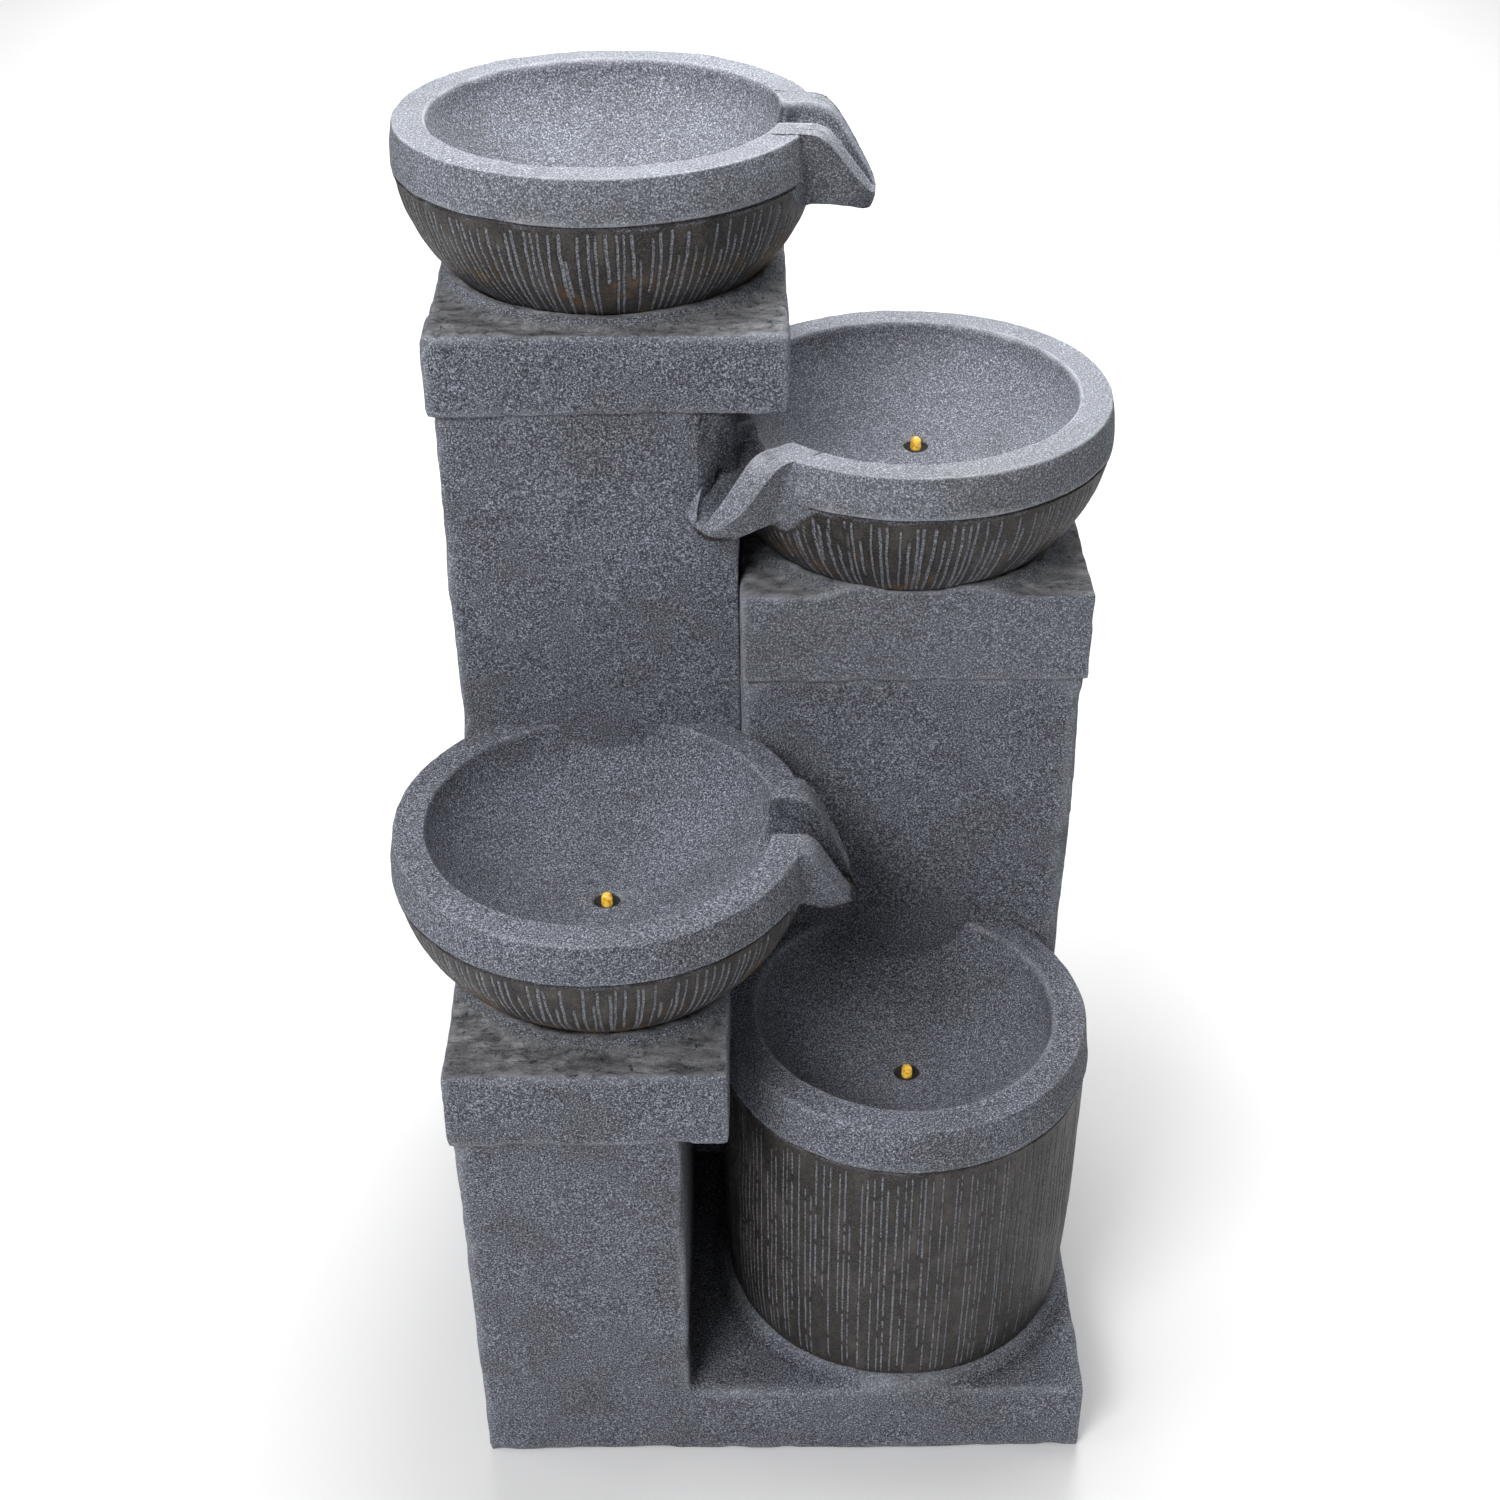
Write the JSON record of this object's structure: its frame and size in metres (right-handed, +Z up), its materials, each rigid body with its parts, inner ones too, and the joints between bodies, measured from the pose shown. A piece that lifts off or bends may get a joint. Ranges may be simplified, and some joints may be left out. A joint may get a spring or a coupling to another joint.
{
  "type": "tiered water fountain",
  "caption": "Free-standing garden fountain: spouted granite-look bowls on stepped square pillars, cascading into a round catch pot, with small amber lamps.",
  "frame": {"origin": "centre of the bounding box on the ground plane", "axes": "+Z up, front towards -Y, tallest pillar at the rear left (-X, +Y), catch pot at the front right"},
  "size_m": [0.4464, 0.4661, 0.8024],
  "materials": {
    "granite_stone": "matte",
    "bowl_stone": "matte",
    "black_plastic": "satin",
    "black_rubber": "matte",
    "amber_lens": "gloss",
    "clear_hose": "satin",
    "white_ceramic": "gloss",
    "magnet_black": "satin",
    "stainless_steel": "satin"
  },
  "bodies": {
    "fountain": {"base_plinth": "granite_stone", "tall_pillar": "granite_stone", "middle_pillar": "granite_stone", "front_pillar": "granite_stone", "tall_cap": "granite_stone", "middle_cap": "granite_stone", "front_cap": "granite_stone", "top_bowl": "bowl_stone", "middle_bowl": "bowl_stone", "lower_bowl": "bowl_stone", "catch_pot": "bowl_stone", "door_pin_upper": "stainless_steel", "door_pin_lower": "stainless_steel", "latch_screw": "stainless_steel", "cable_gland": "black_rubber", "led_lens_middle": "amber_lens", "led_lens_lower": "amber_lens", "led_lens_pot": "amber_lens", "led_grommet_middle": "black_rubber", "led_grommet_lower": "black_rubber", "led_grommet_pot": "black_rubber", "led_lead_middle": "black_rubber", "led_lead_lower": "black_rubber", "led_lead_pot": "black_rubber", "pump_lead": "black_rubber", "supply_lead": "black_rubber", "led_junction": "black_plastic", "pump_housing": "black_plastic", "pump_cover": "black_plastic", "pump_shaft": "white_ceramic", "pump_foot_1": "black_rubber", "pump_foot_2": "black_rubber", "pump_foot_3": "black_rubber", "pump_foot_4": "black_rubber", "riser_hose": "clear_hose", "outlet_fitting": "black_plastic", "outlet_nut": "black_plastic", "return_pipe": "black_plastic", "return_strainer": "black_plastic"},
    "impeller": {"pump_impeller": "magnet_black"},
    "dial": {"flow_dial": "black_plastic"},
    "door": {"access_door": "granite_stone"},
    "latch": {"door_latch": "black_plastic"},
    "plug": {"drain_plug": "black_rubber"}
  },
  "joints": [
    {"name": "impeller_spin", "type": "hinge", "parent": "fountain", "child": "impeller", "pos_m": [0.105, 0.107, 0.034], "axis": [0, -1, 0], "continuous": true},
    {"name": "flow_dial_turn", "type": "hinge", "parent": "fountain", "child": "dial", "pos_m": [0.105, 0.0817, 0.046], "axis": [0, -1, 0], "range_deg": [-45, 45]},
    {"name": "access_door_hinge", "type": "hinge", "parent": "fountain", "child": "door", "pos_m": [0.0545, 0.2125, 0.155], "axis": [0, 0, 1], "range_deg": [0, 95]},
    {"name": "door_latch_turn", "type": "hinge", "parent": "fountain", "child": "latch", "pos_m": [0.17, 0.2188, 0.155], "axis": [0, 1, 0], "range_deg": [0, 90]},
    {"name": "drain_plug_pull", "type": "slide", "parent": "fountain", "child": "plug", "axis": [0, 1, 0], "range_m": [0, 0.025]}
  ]
}
